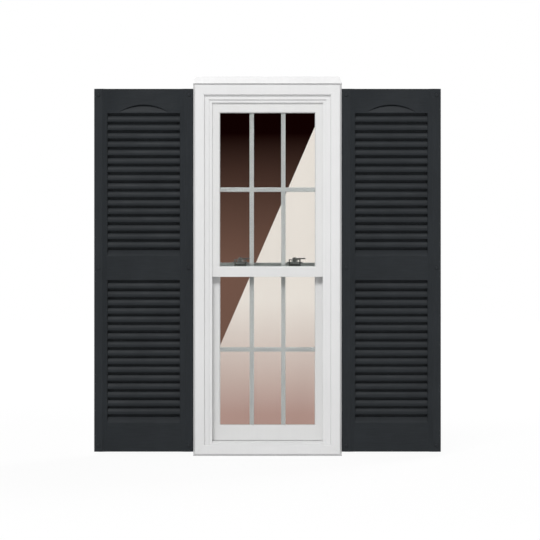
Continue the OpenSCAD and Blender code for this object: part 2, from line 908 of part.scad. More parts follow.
// The end walls close the moulding at its top and bottom
module end_wall(z) {
    half = concat([[-shutter_half, 0]], stile_front);
    other = [for (i = [len(half) - 1 : -1 : 0]) [-half[i][0], half[i][1]]];
    translate([0, 0, z]) linear_extrude(shutter_wall) polygon(concat(half, other));
}

module rail(z, top) {
    rib_z = (z + top) / 2;
    edge = stile_in + shutter_wall / 2;
    block([-edge, rail_y, z], [edge, rail_y + shutter_wall, top]);
    block([-edge, rail_y, rib_z], [edge, slot_floor_y, rib_z + shutter_wall]);
}

// A field of louvres is one wall that folds back above each slat: front points down, back points up
function louvre_front(z) = [
    [rail_y, z], [slot_floor_y, z], [slot_floor_y, z - louvre_slot],
    [rail_y + louvre_drop, z - louvre_slot]
];

function louvre_back(z) = [
    [rail_y + slat_wall + slat_slope * shutter_wall, z - louvre_pitch + shutter_wall],
    [rail_y + louvre_drop + slat_wall - slat_slope * shutter_wall, z - louvre_slot - shutter_wall],
    [slot_floor_y + shutter_wall, z - louvre_slot - shutter_wall],
    [slot_floor_y + shutter_wall, z + shutter_wall]
];

module louvre_field(top) {
    rows = [0 : louvre_count - 1];
    low = top - field_h;
    front = [for (k = rows) each louvre_front(top - k * louvre_pitch)];
    back = [for (k = rows) each louvre_back(low + (k + 1) * louvre_pitch)];
    along_x(2 * stile_in + shutter_wall) polygon(concat(
        front,
        [[rail_y, low], [rail_y + slat_wall, low]],
        back,
        [[rail_y, top + shutter_wall]]
    ));
}

// The arch in the top rail: a curved wall and a plate that falls back towards the crown
module arch_disc(extra) {
    translate([0, rail_y - past, arch_centre_z]) rotate([-90, 0, 0])
        cylinder(r = arch_r + extra, h = arch_depth + shutter_wall + past, $fn = 96);
}

module above_fields() {
    block([-arch_w, rail_y, upper_field_top], [arch_w, -past, shutter_h]);
}

module arch_recess() {
    lean = arch_depth / arch_rise;
    intersection() {
        difference() {
            arch_disc(shutter_wall);
            arch_disc(0);
        }
        above_fields();
    }
    intersection() {
        arch_disc(shutter_wall / 2);
        along_x(arch_w + 2 * shutter_wall) polygon([
            [rail_y, upper_field_top], [rail_y + arch_depth + lean, upper_field_top + arch_rise + past],
            [rail_y + arch_depth + lean + shutter_wall, upper_field_top + arch_rise + past],
            [rail_y + shutter_wall, upper_field_top]
        ]);
    }
}

// Each fastener's head lies on a round pad on the stile
module at_fasteners() {
    for (side = [-1, 1], z = fastener_rows)
        translate([side * fastener_x, pad_y, z]) rotate([-90, 0, 0]) children();
}

// A rib across the channel of the left stile
module stile_rib(z) {
    translate([0, 0, z]) linear_extrude(shutter_wall)
        polygon(concat([[-shutter_half, -rib_setback]], stile_front, [[-stile_in, -rib_setback]]));
}

module shutter() {
    rib_pitch = shutter_h / stile_ribs;
    difference() {
        union() {
            both_sides() left_stile();
            end_wall(0);
            end_wall(shutter_h - shutter_wall);
            rail(0, bottom_rail);
            rail(lower_field_top, lower_field_top + middle_rail);
            difference() {
                rail(upper_field_top, shutter_h);
                arch_disc(0);
            }
            arch_recess();
            louvre_field(lower_field_top);
            louvre_field(upper_field_top);
            both_sides() for (k = [1 : stile_ribs - 1])
                stile_rib((k - rib_shift) * rib_pitch);
            at_fasteners() cylinder(r = pad_r, h = pad_l);
        }
        at_fasteners() translate([0, 0, -past])
            cylinder(r = fastener_neck_r + fastener_clear, h = pad_l + 2 * past);
    }
}

// A fastener is a pin with a domed head, a thicker neck in the moulding's hole and a pointed end
module fasteners() {
    dome_r = (fastener_head_r * fastener_head_r + fastener_head_h * fastener_head_h) / (2 * fastener_head_h);
    shank_l = fastener_reach - pad_y - fastener_tip;
    at_fasteners() union() {
        cylinder(r = fastener_neck_r, h = pad_l + past);
        cylinder(r = fastener_r, h = shank_l);
        translate([0, 0, shank_l]) cylinder(r1 = fastener_r, r2 = fastener_tip_r, h = fastener_tip);
        intersection() {
            translate([0, 0, dome_r - fastener_head_h]) sphere(r = dome_r);
            translate([0, 0, -fastener_head_h]) cylinder(r = fastener_head_r, h = fastener_head_h);
        }
    }
}

module left_shutter() {
    color(charcoal) translate([-shutter_x, 0, shutter_z]) shutter();
}

module right_shutter() {
    color(charcoal) translate([shutter_x, 0, shutter_z]) shutter();
}

module left_shutter_fasteners() {
    color(charcoal) translate([-shutter_x, 0, shutter_z]) fasteners();
}

module right_shutter_fasteners() {
    color(charcoal) translate([shutter_x, 0, shutter_z]) fasteners();
}

left_shutter();
right_shutter();
left_shutter_fasteners();
right_shutter_fasteners();
casing_left();
casing_right();
casing_head();
casing_bottom();
head_cap();
left_jamb();
right_jamb();
head_jamb();
sill();
upper_balance_tubes();
lower_balance_tubes();
balance_bushes();
balance_screws();
upper_sash_frame();
upper_outer_pane();
upper_inner_pane();
upper_spacer();
upper_grid();
upper_glazing_beads();
upper_interlock();
upper_pile_seals();
upper_balance_rods();
upper_rod_brackets();
left_keeper();
right_keeper();
lower_sash_frame();
lower_outer_pane();
lower_inner_pane();
lower_spacer();
lower_grid();
lower_glazing_beads();
lower_interlock();
lower_pile_seals();
lower_bottom_seal();
lower_balance_rods();
lower_rod_brackets();
left_lock_base();
right_lock_base();
lock_screws();
left_lock_lever();
right_lock_lever();
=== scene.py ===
"""Finishes a pair of louvred shutters and the double-hung window frame between them."""

import math

import bmesh
import bpy
from bpy.props import FloatProperty, FloatVectorProperty, PointerProperty
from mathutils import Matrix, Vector


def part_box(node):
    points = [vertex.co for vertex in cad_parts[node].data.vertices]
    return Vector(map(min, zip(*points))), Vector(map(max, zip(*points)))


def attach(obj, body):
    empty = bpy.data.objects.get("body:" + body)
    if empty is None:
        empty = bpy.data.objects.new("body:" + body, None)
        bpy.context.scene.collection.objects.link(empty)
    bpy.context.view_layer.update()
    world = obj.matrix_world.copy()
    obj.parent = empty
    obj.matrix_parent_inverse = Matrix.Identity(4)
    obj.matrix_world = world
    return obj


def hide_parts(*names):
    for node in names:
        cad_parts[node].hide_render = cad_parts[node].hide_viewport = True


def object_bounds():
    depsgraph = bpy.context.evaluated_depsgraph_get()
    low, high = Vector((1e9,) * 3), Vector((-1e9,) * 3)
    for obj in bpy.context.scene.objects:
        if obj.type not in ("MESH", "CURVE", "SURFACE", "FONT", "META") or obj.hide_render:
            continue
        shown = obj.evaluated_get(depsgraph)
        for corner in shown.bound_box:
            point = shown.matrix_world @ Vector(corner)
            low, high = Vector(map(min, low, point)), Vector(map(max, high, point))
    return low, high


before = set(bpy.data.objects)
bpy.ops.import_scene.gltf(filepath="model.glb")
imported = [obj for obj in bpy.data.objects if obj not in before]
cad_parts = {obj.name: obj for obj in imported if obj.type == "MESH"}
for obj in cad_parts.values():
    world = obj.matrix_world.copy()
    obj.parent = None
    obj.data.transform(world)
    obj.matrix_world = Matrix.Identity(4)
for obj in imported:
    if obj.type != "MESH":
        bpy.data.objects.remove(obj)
CAD_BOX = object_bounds()

bl_info = {
    "name": "Louvred shutters and window",
    "version": (1, 0, 0),
    "blender": (4, 5, 0),
    "location": "View3D > Sidebar > Shutters",
    "description": "Finishes the shutters, the casing, the sashes and the locks around the solid model",
    "category": "Object",
}

MM = 0.001
WHITE = (1, 1, 1, 1)
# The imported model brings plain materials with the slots' names, so the finishes have names of their own
FINISH = "finish_"
# Edges that turn by more degrees than a fold, and less than a mitre's tip, are rounded
FOLD = 25
TIP = 100
# Faces that turn by less than this many degrees count as one flat face
FLAT = 1.0
# Edges of turned pieces stay sharp from this many degrees
SHARP = 35
# Corners closer than this are one corner
WELD = 0.01 * MM
# Edge radii of the locks, and the shortest of their edges that is rounded
LOCK_EDGE = 0.4 * MM
LEVER_EDGE = 0.6 * MM
SHORT_EDGE = 0.2 * MM
# Where the two square lamps stand, and how wide they are, in metres
KEY_PLACE = (-2.0, -15.3, 11.7)
BACK_PLACE = (6.0, 11.2, 8.5)
LAMP_SIZE = 5.2

# How often each pattern of the finishes repeats along X, Y and Z, per metre
UPRIGHT_GRAIN = (420, 420, 14)
LEVEL_GRAIN = (14, 420, 420)
SHUTTER_CLOUD = (9, 9, 7)
VINYL_BLOOM = (5, 5, 3)
VINYL_STREAK = (160, 160, 6)
VINYL_SKIN = (900, 900, 900)
METAL_CLOUD = (40, 40, 40)
LOCK_LINES = (60, 1200, 1200)
STEEL_LINES = (900, 900, 40)
SPACER_LINES = (900, 900, 60)
GLASS_WAVE = (5, 5, 2)
PILE_TUFTS = (1400, 1400, 700)
# Noise lies mostly between these two values
NOISE_LOW = 0.3
NOISE_HIGH = 0.7

# Names of the solids that share a treatment
CASING_NODES = ("casing_left", "casing_right", "casing_head", "casing_bottom", "head_cap")
JAMB_NODES = ("left_jamb", "right_jamb", "head_jamb", "sill")
SHUTTER_NODES = ("left_shutter", "right_shutter")
SASHES = ("upper", "lower")
LOCK_SIDES = ("left", "right")


class ShutterSettings(bpy.types.PropertyGroup):
    """Colour and grain of the shutters."""

    colour: FloatVectorProperty(
        name="Colour", description="Colour of the moulded plastic", subtype="COLOR",
        size=3, min=0, max=1, default=(0.0185, 0.0215, 0.0245))
    edge: FloatProperty(
        name="Edge radius", description="Rounding of the moulding's edges",
        default=0.9 * MM, min=0.1 * MM, max=1.2 * MM, unit="LENGTH", precision=4)
    grain_depth: FloatProperty(
        name="Grain depth", description="Depth of the moulded wood grain",
        default=0.35 * MM, min=0, max=1 * MM, unit="LENGTH", precision=5)
    stile_width: FloatProperty(
        name="Stile width", description="Width of a stile, where the grain runs upright",
        default=51 * MM, min=20 * MM, max=90 * MM, unit="LENGTH", precision=4)
    pin_ring: FloatProperty(
        name="Pin ridge", description="How far the ridges stand out of a push-in pin",
        default=0.45 * MM, min=0, max=1 * MM, unit="LENGTH", precision=5)


class WindowSettings(bpy.types.PropertyGroup):
    """Colours and edges of the window."""

    casing_colour: FloatVectorProperty(
        name="Casing colour", description="Colour of the casing and the jambs", subtype="COLOR",
        size=3, min=0, max=1, default=(0.80, 0.80, 0.80))
    sash_colour: FloatVectorProperty(
        name="Sash colour", description="Colour of the sashes and glazing beads", subtype="COLOR",
        size=3, min=0, max=1, default=(0.77, 0.77, 0.765))
    glass_colour: FloatVectorProperty(
        name="Glass colour", description="Faint tint of the panes", subtype="COLOR",
        size=3, min=0, max=1, default=(0.965, 0.985, 0.975))
    metal_colour: FloatVectorProperty(
        name="Lock colour", description="Colour of the satin locks", subtype="COLOR",
        size=3, min=0, max=1, default=(0.27, 0.265, 0.255))
    edge: FloatProperty(
        name="Edge radius", description="Rounding of the white boards' edges",
        default=0.5 * MM, min=0.1 * MM, max=2 * MM, unit="LENGTH", precision=4)


class StageSettings(bpy.types.PropertyGroup):
    """Camera, light and floor."""

    photo_width: FloatProperty(
        name="Width in view", description="Width that the picture takes in at the front of the part",
        default=2.077, min=1, max=4, unit="LENGTH")
    centre_x: FloatProperty(
        name="Centre across", description="Point across the window at the middle of the picture",
        default=0.0096, unit="LENGTH", precision=4)
    centre_z: FloatProperty(
        name="Centre height", description="Height at the middle of the picture",
        default=0.7155, unit="LENGTH", precision=4)
    lens: FloatProperty(
        name="Lens", description="Focal length of the camera",
        default=200, min=20, max=400, unit="CAMERA")
    key_power: FloatProperty(
        name="Key light", description="Power of the light high up in front, a little to the left",
        default=2130, min=0, max=9000, unit="POWER")
    back_power: FloatProperty(
        name="Back light", description="Power of the light behind the window",
        default=1180, min=0, max=9000, unit="POWER")
    sky: FloatProperty(
        name="Sky", description="Strength of the even light from all round", default=0.32, min=0, max=2)
    # The two cards paint, as glowing colour, a dark and a pale view and the slanted edge of a reflection that
    # show in the panes
    dark_card: FloatVectorProperty(
        name="Dark card", description="Upper colour of the card at the left behind the panes",
        subtype="COLOR",
        size=3, min=0, max=1, default=(0.005, 0.0005, 0.0005))
    pale_card: FloatVectorProperty(
        name="Pale card", description="Upper colour of the card at the right behind the panes",
        subtype="COLOR",
        size=3, min=0, max=1, default=(0.98, 0.88, 0.82))


def add_node(tree, kind, inputs=None, **settings):
    """Adds a node, sets its own settings, and sets or links its inputs."""
    node = tree.nodes.new(kind)
    for key, value in settings.items():
        setattr(node, key, value)
    for key, value in (inputs or {}).items():
        if isinstance(value, bpy.types.NodeSocket):
            tree.links.new(value, node.inputs[key])
        else:
            node.inputs[key].default_value = value
    return node


def math_node(tree, operation, first, second=0.0):
    """One sum on one or two values."""
    return add_node(tree, "ShaderNodeMath", {0: first, 1: second}, operation=operation).outputs[0]


def weighted(tree, first, second, share):
    """Two values together, the first with its share and the second with the rest."""
    main = math_node(tree, "MULTIPLY", first, share)
    rest = math_node(tree, "MULTIPLY", second, 1 - share)
    return math_node(tree, "ADD", main, rest)


def start_material(name):
    """A new material with one surface shader, and its tree and Object coordinates."""
    material = bpy.data.materials.new(FINISH + name)
    material.use_nodes = True
    tree = material.node_tree
    tree.nodes.clear()
    surface = add_node(tree, "ShaderNodeBsdfPrincipled")
    add_node(tree, "ShaderNodeOutputMaterial", {"Surface": surface.outputs[0]})
    place = add_node(tree, "ShaderNodeTexCoord").outputs["Object"]
    return material, tree, surface, place


def stretched_noise(tree, place, scale, detail=4.0, roughness=0.55):
    """Noise with its own scale along each axis."""
    mapped = add_node(tree, "ShaderNodeMapping", {"Vector": place, "Scale": scale})
    noise = add_node(
        tree, "ShaderNodeTexNoise",
        {"Vector": mapped.outputs[0], "Scale": 1.0, "Detail": detail, "Roughness": roughness})
    return noise.outputs[0]


def spread(tree, value, low, high):
    """Turns noise into a range of its own."""
    ranged = add_node(
        tree, "ShaderNodeMapRange",
        {"Value": value, "From Min": NOISE_LOW, "From Max": NOISE_HIGH, "To Min": low, "To Max": high})
    return ranged.outputs[0]


def blend_colour(tree, factor, dark, light):
    """A colour between two others."""
    mixed = add_node(tree, "ShaderNodeMix", {0: factor, 6: (*dark, 1), 7: (*light, 1)}, data_type="RGBA")
    return mixed.outputs[2]


def shade(colour, amount):
    """A colour made darker or lighter."""
    return tuple(min(1.0, part * amount) for part in colour)


def add_bump(tree, surface, height, depth, strength):
    """Raises the surface by a height pattern."""
    bump = add_node(
        tree, "ShaderNodeBump", {"Height": height, "Distance": depth, "Strength": strength})
    tree.links.new(bump.outputs[0], surface.inputs["Normal"])


def shutter_plastic(settings):
    """Dark moulded plastic with wood grain: upright on the stiles, level on rails and louvres."""
    material, tree, surface, place = start_material("shutter_plastic")
    low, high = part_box("right_shutter")
    centre = (low.x + high.x) / 2
    field_half = (high.x - low.x) / 2 - settings.stile_width
    across = add_node(tree, "ShaderNodeSeparateXYZ", {0: place}).outputs[0]
    from_centre = math_node(tree, "SUBTRACT", math_node(tree, "ABSOLUTE", across), centre)
    on_stile = math_node(tree, "GREATER_THAN", math_node(tree, "ABSOLUTE", from_centre), field_half)
    upright = stretched_noise(tree, place, UPRIGHT_GRAIN)
    level = stretched_noise(tree, place, LEVEL_GRAIN)
    grain = add_node(tree, "ShaderNodeMix", {0: on_stile, 2: level, 3: upright}).outputs[0]
    cloud = stretched_noise(tree, place, SHUTTER_CLOUD, detail=3.0)
    tone = weighted(tree, grain, cloud, share=0.6)
    colour = blend_colour(
        tree, spread(tree, tone, 0.0, 1.0), shade(settings.colour, 0.80), shade(settings.colour, 1.22))
    tree.links.new(colour, surface.inputs["Base Color"])
    tree.links.new(spread(tree, tone, low=0.58, high=0.44), surface.inputs["Roughness"])
    surface.inputs["Specular IOR Level"].default_value = 0.12
    add_bump(tree, surface, grain, settings.grain_depth, strength=0.55)
    return material


def white_vinyl(name, colour, rough=0.36):
    """White extruded vinyl with a faint bloom and a very fine skin."""
    material, tree, surface, place = start_material(name)
    bloom = stretched_noise(tree, place, VINYL_BLOOM, detail=3.0)
    streak = stretched_noise(tree, place, VINYL_STREAK, detail=3.0)
    tone = weighted(tree, bloom, streak, share=0.7)
    colours = blend_colour(tree, spread(tree, tone, 0.0, 1.0), shade(colour, 0.965), shade(colour, 1.015))
    tree.links.new(colours, surface.inputs["Base Color"])
    tree.links.new(spread(tree, streak, rough + 0.07, rough - 0.05), surface.inputs["Roughness"])
    surface.inputs["Specular IOR Level"].default_value = 0.25
    skin = stretched_noise(tree, place, VINYL_SKIN, detail=2.0)
    add_bump(tree, surface, skin, depth=0.06 * MM, strength=0.25)
    return material


def satin_metal(name, colour, rough, scale):
    """Plated metal with fine brush lines."""
    material, tree, surface, place = start_material(name)
    lines = stretched_noise(tree, place, scale, detail=5.0)
    cloud = stretched_noise(tree, place, METAL_CLOUD, detail=2.0)
    tree.links.new(
        blend_colour(tree, spread(tree, cloud, 0.0, 1.0), shade(colour, 0.88), shade(colour, 1.08)),
        surface.inputs["Base Color"])
    tree.links.new(spread(tree, lines, rough - 0.07, rough + 0.09), surface.inputs["Roughness"])
    surface.inputs["Metallic"].default_value = 1.0
    add_bump(tree, surface, lines, depth=0.03 * MM, strength=0.3)
    return material


def window_glass(name, colour):
    """Clear float glass with the faint long waves of drawn sheets."""
    material, tree, surface, place = start_material(name)
    wave = stretched_noise(tree, place, GLASS_WAVE, detail=1.0)
    tone = blend_colour(tree, spread(tree, wave, 0.0, 1.0), shade(colour, 0.985), shade(colour, 1.01))
    tree.links.new(tone, surface.inputs["Base Color"])
    surface.inputs["Roughness"].default_value = 0.0
    surface.inputs["Transmission Weight"].default_value = 1.0
    surface.inputs["IOR"].default_value = 1.5
    add_bump(tree, surface, wave, depth=0.02 * MM, strength=0.1)
    return material


def seal_pile():
    """Short grey woven pile."""
    dark_grey = (0.16, 0.16, 0.17)
    light_grey = (0.34, 0.34, 0.35)
    material, tree, surface, place = start_material("seal_pile")
    tufts = stretched_noise(tree, place, PILE_TUFTS, detail=3.0)
    tree.links.new(
        blend_colour(tree, spread(tree, tufts, 0.0, 1.0), dark_grey, light_grey),
        surface.inputs["Base Color"])
    surface.inputs["Roughness"].default_value = 0.95
    surface.inputs["Sheen Weight"].default_value = 0.3
    add_bump(tree, surface, tufts, depth=0.4 * MM, strength=0.8)
    return material


def material_named(name):
    """A material that an earlier operator made."""
    found = bpy.data.materials.get(FINISH + name)
    if found is None:
        raise RuntimeError(f"the finish {name} has not been made yet")
    return found


def link_mesh(mesh, name):
    """A new object at the origin that holds a mesh."""
    piece = bpy.data.objects.new(name, mesh)
    bpy.context.scene.collection.objects.link(piece)
    return piece


def baked(piece):
    """Turns an object's modifiers into a plain mesh."""
    graph = bpy.context.evaluated_depsgraph_get()
    mesh = bpy.data.meshes.new_from_object(piece.evaluated_get(graph))
    name = piece.name
    old = piece.data
    bpy.data.objects.remove(piece)
    bpy.data.meshes.remove(old)
    mesh.name = name
    return link_mesh(mesh, name)


def soft_edged(node, radius, segments, least):
    """A merged copy of a solid with rounded edges, apart from short ones and the sharp tips of mitres."""
    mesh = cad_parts[node].data.copy()
    shape = bmesh.new()
    shape.from_mesh(mesh)
    bmesh.ops.remove_doubles(shape, verts=shape.verts, dist=WELD)
    bmesh.ops.dissolve_limit(
        shape, angle_limit=math.radians(FLAT), verts=shape.verts, edges=shape.edges)
    weight = shape.edges.layers.float.new("bevel_weight_edge")
    for edge in shape.edges:
        turn = math.degrees(edge.calc_face_angle(0.0))
        rounded = FOLD < turn < TIP and edge.calc_length() > least
        edge[weight] = float(rounded)
        edge.smooth = rounded or turn < FOLD
    for face in shape.faces:
        face.smooth = True
    shape.to_mesh(mesh)
    shape.free()
    piece = link_mesh(mesh, node + "_finished")
    bevel = piece.modifiers.new("Rounded edges", "BEVEL")
    bevel.width = radius
    bevel.segments = segments
    bevel.limit_method = "WEIGHT"
    bevel.use_clamp_overlap = False
    even = piece.modifiers.new("Flat faces", "WEIGHTED_NORMAL")
    even.weight = 100
    even.keep_sharp = True
    return baked(piece)


def give_material(piece, material):
    """Leaves a piece with one material."""
    piece.data.materials.clear()
    piece.data.materials.append(material)


def seat_piece(piece, body, slot, *nodes):
    """Puts a finished piece on its body, in place of the solids that it stands for."""
    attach(piece, body)
    if nodes:
        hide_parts(*nodes)


def round_off(node, body, slot, material, radius, segments=2, least=3 * MM):
    """Replaces a solid by its soft-edged copy."""
    piece = soft_edged(node, radius, segments, least)
    give_material(piece, material)
    seat_piece(piece, body, slot, node)


def paint_node(node, material):
    """Gives a solid that stays as it is a finish of its own."""
    give_material(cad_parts[node], material)


def lathe(name, profile, segments=24):
    """A turned shape about the Y axis, from points of radius and place along Y."""
    shape = bmesh.new()
    rings = []
    for radius, along in profile:
        if radius <= 0:
            rings.append([shape.verts.new((0, along, 0))])
            continue
        turns = [2 * math.pi * step / segments for step in range(segments)]
        rings.append([shape.verts.new((radius * math.cos(t), along, radius * math.sin(t))) for t in turns])
    for first, second in zip(rings, rings[1:]):
        for step in range(segments):
            after = (step + 1) % segments
            corners = [first[step % len(first)], first[after % len(first)],
                       second[after % len(second)], second[step % len(second)]]
            corners = list(dict.fromkeys(corners))
            if len(corners) > 2:
                shape.faces.new(corners)
    bmesh.ops.recalc_face_normals(shape, faces=shape.faces)
    mesh = bpy.data.meshes.new(name)
    shape.to_mesh(mesh)
    shape.free()
    for polygon in mesh.polygons:
        polygon.use_smooth = True
    mesh.set_sharp_from_angle(angle=math.radians(SHARP))
    return mesh


def new_tree(name, sockets):
    """A geometry tree with named inputs and one geometry output."""
    tree = bpy.data.node_groups.new(name, "GeometryNodeTree")
    for label, kind in sockets:
        tree.interface.new_socket(label, in_out="INPUT", socket_type=kind)
    tree.interface.new_socket("Geometry", in_out="OUTPUT", socket_type="NodeSocketGeometry")
    given = add_node(tree, "NodeGroupInput").outputs
    return tree, given


def close_tree(tree, instances, finish):
    """Ends a tree: real geometry with its material."""
    real = add_node(tree, "GeometryNodeRealizeInstances", {0: instances})
    painted = add_node(tree, "GeometryNodeSetMaterial", {"Geometry": real.outputs[0], "Material": finish})
    add_node(tree, "NodeGroupOutput", {0: painted.outputs[0]})


def copies_tree():
    """Puts a copy of one shape at each given place."""
    made = bpy.data.node_groups.get("Copies at places")
    if made:
        return made
    tree, given = new_tree("Copies at places", (
        ("Places", "NodeSocketGeometry"), ("Shape", "NodeSocketObject"), ("Finish", "NodeSocketMaterial")))
    shape = add_node(tree, "GeometryNodeObjectInfo", {"Object": given["Shape"]})
    points = add_node(tree, "GeometryNodeMeshToPoints", {"Mesh": given["Places"]})
    copies = add_node(
        tree, "GeometryNodeInstanceOnPoints",
        {"Points": points.outputs[0], "Instance": shape.outputs["Geometry"]})
    close_tree(tree, copies.outputs[0], given["Finish"])
    return tree


def spiral_tree():
    """Twists a flat strip into a spiral rod at each given place."""
    steps_in_turn = 16.0
    made = bpy.data.node_groups.get("Spiral rods")
    if made:
        return made
    tree, given = new_tree("Spiral rods", (
        ("Places", "NodeSocketGeometry"), ("Length", "NodeSocketFloat"), ("Width", "NodeSocketFloat"),
        ("Thickness", "NodeSocketFloat"), ("Turns", "NodeSocketFloat"), ("Finish", "NodeSocketMaterial")))
    top = add_node(tree, "ShaderNodeCombineXYZ", {2: given["Length"]})
    line = add_node(tree, "GeometryNodeCurvePrimitiveLine", {"End": top.outputs[0]})
    steps = math_node(tree, "MULTIPLY", given["Turns"], steps_in_turn)
    fine = add_node(tree, "GeometryNodeResampleCurve", {"Curve": line.outputs[0], "Count": steps})
    part = add_node(tree, "GeometryNodeSplineParameter").outputs["Factor"]
    turn = math_node(tree, "MULTIPLY", math_node(tree, "MULTIPLY", part, given["Turns"]), 2 * math.pi)
    twisted = add_node(tree, "GeometryNodeSetCurveTilt", {"Curve": fine.outputs[0], "Tilt": turn})
    section = add_node(
        tree, "GeometryNodeCurvePrimitiveQuadrilateral",
        {"Width": given["Width"], "Height": given["Thickness"]})
    rod = add_node(
        tree, "GeometryNodeCurveToMesh",
        {"Curve": twisted.outputs[0], "Profile Curve": section.outputs[0], "Fill Caps": True})
    points = add_node(tree, "GeometryNodeMeshToPoints", {"Mesh": given["Places"]})
    copies = add_node(
        tree, "GeometryNodeInstanceOnPoints", {"Points": points.outputs[0], "Instance": rod.outputs[0]})
    close_tree(tree, copies.outputs[0], given["Finish"])
    return tree


def grown(name, tree, places, values):
    """Runs a tree on a set of places and returns the result as a plain mesh object."""
    mesh = bpy.data.meshes.new(name)
    mesh.from_pydata([tuple(place) for place in places], [], [])
    piece = link_mesh(mesh, name)
    modifier = piece.modifiers.new("Pattern", "NODES")
    modifier.node_group = tree
    for item in tree.interface.items_tree:
        if item.in_out == "INPUT" and item.name in values:
            modifier[item.identifier] = values[item.name]
    return baked(piece)


def copies_of(name, shape_mesh, places, material):
    """Copies of a shape at several places, as one piece."""
    pattern = link_mesh(shape_mesh, name + "_pattern")
    piece = grown(name, copies_tree(), places, {"Shape": pattern, "Finish": material})
    bpy.data.objects.remove(pattern)
    return piece


def solid_groups(node):
    """The box of each separate solid of a node, as lowest and highest corners."""
    shape = bmesh.new()
    shape.from_mesh(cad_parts[node].data)
    bmesh.ops.remove_doubles(shape, verts=shape.verts, dist=WELD)
    waiting = set(shape.verts)
    boxes = []
    while waiting:
        stack = [waiting.pop()]
        low = Vector(stack[0].co)
        high = Vector(stack[0].co)
        while stack:
            vert = stack.pop()
            low = Vector(map(min, low, vert.co))
            high = Vector(map(max, high, vert.co))
            for edge in vert.link_edges:
                other = edge.other_vert(vert)
                if other in waiting:
                    waiting.remove(other)
                    stack.append(other)
        boxes.append((low, high))
    shape.free()
    return sorted(boxes, key=lambda corners: (round(corners[0].x, 4), round(corners[0].z, 4)))


class SHUTTERS_OT_finishes(bpy.types.Operator):
    """Make every material"""

    bl_idname = "shutters.finishes"
    bl_label = "Materials"

    def execute(self, context):
        window = context.scene.window_settings
        shutter_plastic(context.scene.shutter_settings)
        white_vinyl("casing_vinyl", window.casing_colour)
        white_vinyl("sash_vinyl", window.sash_colour, rough=0.33)
        # The grid's white is the sash's white made lighter: painted light, which makes up for the light that
        # the panes hold back from the grid
        white_vinyl("grid_white", shade(window.sash_colour, 1.14), rough=0.30)
        white_vinyl("bush_plastic", colour=(0.74, 0.74, 0.72), rough=0.5)
        satin_metal("lock_metal", window.metal_colour, rough=0.30, scale=LOCK_LINES)
        satin_metal("balance_steel", colour=(0.52, 0.52, 0.53), rough=0.36, scale=STEEL_LINES)
        satin_metal("spacer_metal", colour=(0.62, 0.62, 0.62), rough=0.34, scale=SPACER_LINES)
        window_glass("window_glass", window.glass_colour)
        seal_pile()
        return {"FINISHED"}


class SHUTTERS_OT_shutters(bpy.types.Operator):
    """Finish the two shutter mouldings with rounded edges and moulded grain"""

    bl_idname = "shutters.shutters"
    bl_label = "Shutters"

    def execute(self, context):
        settings = context.scene.shutter_settings
        for node in SHUTTER_NODES:
            round_off(node, "frame", "shutter_plastic", material_named("shutter_plastic"), settings.edge)
        return {"FINISHED"}


class SHUTTERS_OT_fasteners(bpy.types.Operator):
    """Turn the ridged push-in pins with their domed heads"""

    bl_idname = "shutters.fasteners"
    bl_label = "Push-in pins"

    def execute(self, context):
        ridge = context.scene.shutter_settings.pin_ring
        for node in ("left_shutter_fasteners", "right_shutter_fasteners"):
            boxes = solid_groups(node)
            low, high = boxes[0]
            head_r = (high.x - low.x) / 2
            length = high.y - low.y
            mesh = self.pin(head_r, length, ridge)
            places = [((a.x + b.x) / 2, a.y, (a.z + b.z) / 2) for a, b in boxes]
            piece = copies_of(node + "_turned", mesh, places, material_named("shutter_plastic"))
            seat_piece(piece, "frame", "fastener_plastic", node)
        return {"FINISHED"}

    @staticmethod
    def pin(head_r, length, ridge):
        """One pin: domed head with a dimple, neck, ridged shank and point."""
        dome_h = 3 * MM
        rim_h = 0.2 * MM
        neck_r = 3.9 * MM
        neck_l = 5.5 * MM
        shank_r = 3.2 * MM
        dimple_r = 1.6 * MM
        dimple_floor_r = 0.96 * MM
        dimple_depth = 0.5 * MM
        dimple_floor_edge = 0.42 * MM
        dimple_lip = 0.08 * MM
        pitch = 5 * MM
        groove = 0.2 * pitch
        rise = 0.9 * pitch
        tip = 8 * MM
        point_r = 0.8 * MM
        point_l = 0.4 * MM
        steps = 6
        sides = 28
        profile = [(0, dimple_depth), (dimple_floor_r, dimple_floor_edge), (dimple_r, dimple_lip)]
        for step in range(1, steps + 1):
            turn = math.pi / 2 * step / steps
            out = dimple_r + (head_r - dimple_r) * math.sin(turn)
            profile.append((out, (dome_h - rim_h) * (1 - math.cos(turn))))
        along = dome_h + neck_l
        profile += [(head_r, dome_h), (neck_r, dome_h), (neck_r, along), (shank_r, along)]
        along += pitch
        while along + pitch < length - tip:
            low = shank_r - ridge
            profile += [(shank_r, along), (low, along)]
            profile += [(low, along + groove), (shank_r, along + rise)]
            along += pitch
        profile += [(shank_r - ridge, length - tip), (point_r, length - point_l), (0, length)]
        return lathe("push_pin", profile, sides)


class SHUTTERS_OT_casing(bpy.types.Operator):
    """Finish the mitred casing boards, the head cap, the jambs, the head and the sill"""

    bl_idname = "shutters.casing"
    bl_label = "Casing and frame"

    def execute(self, context):
        settings = context.scene.window_settings
        for node in CASING_NODES + JAMB_NODES:
            round_off(node, "frame", "casing_vinyl", material_named("casing_vinyl"), settings.edge)
        return {"FINISHED"}


